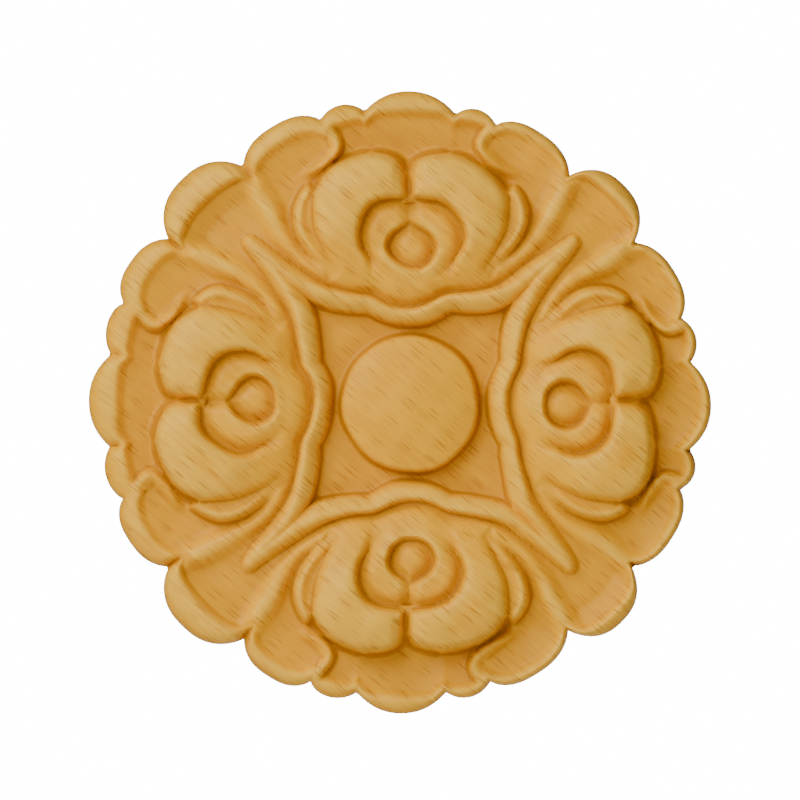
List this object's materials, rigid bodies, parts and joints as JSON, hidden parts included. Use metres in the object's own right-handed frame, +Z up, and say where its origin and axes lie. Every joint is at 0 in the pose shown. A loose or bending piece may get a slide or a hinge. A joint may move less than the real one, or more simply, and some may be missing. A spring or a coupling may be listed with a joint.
{
  "type": "carved wooden rosette",
  "caption": "Round carved wooden rosette with a low round button, a field framed by ribs and stems, and heart-shaped flowers between spoon-shaped leaves, for furniture, panels and mouldings.",
  "frame": {"origin": "on the flat back, behind the middle of the round button", "axes": "+Y out of the flat back towards what it is fixed to; the carved front faces -Y; +Z up, through the middle of the top flower; +X to the right as seen from the front"},
  "size_m": [0.1203, 0.014, 0.1204],
  "materials": {
    "beech": "Carved beech under thin satin oil: honey beige on the high spots, deeper orange in the hollows."
  },
  "bodies": {
    "root": {"rosette": "beech"}
  },
  "joints": []
}
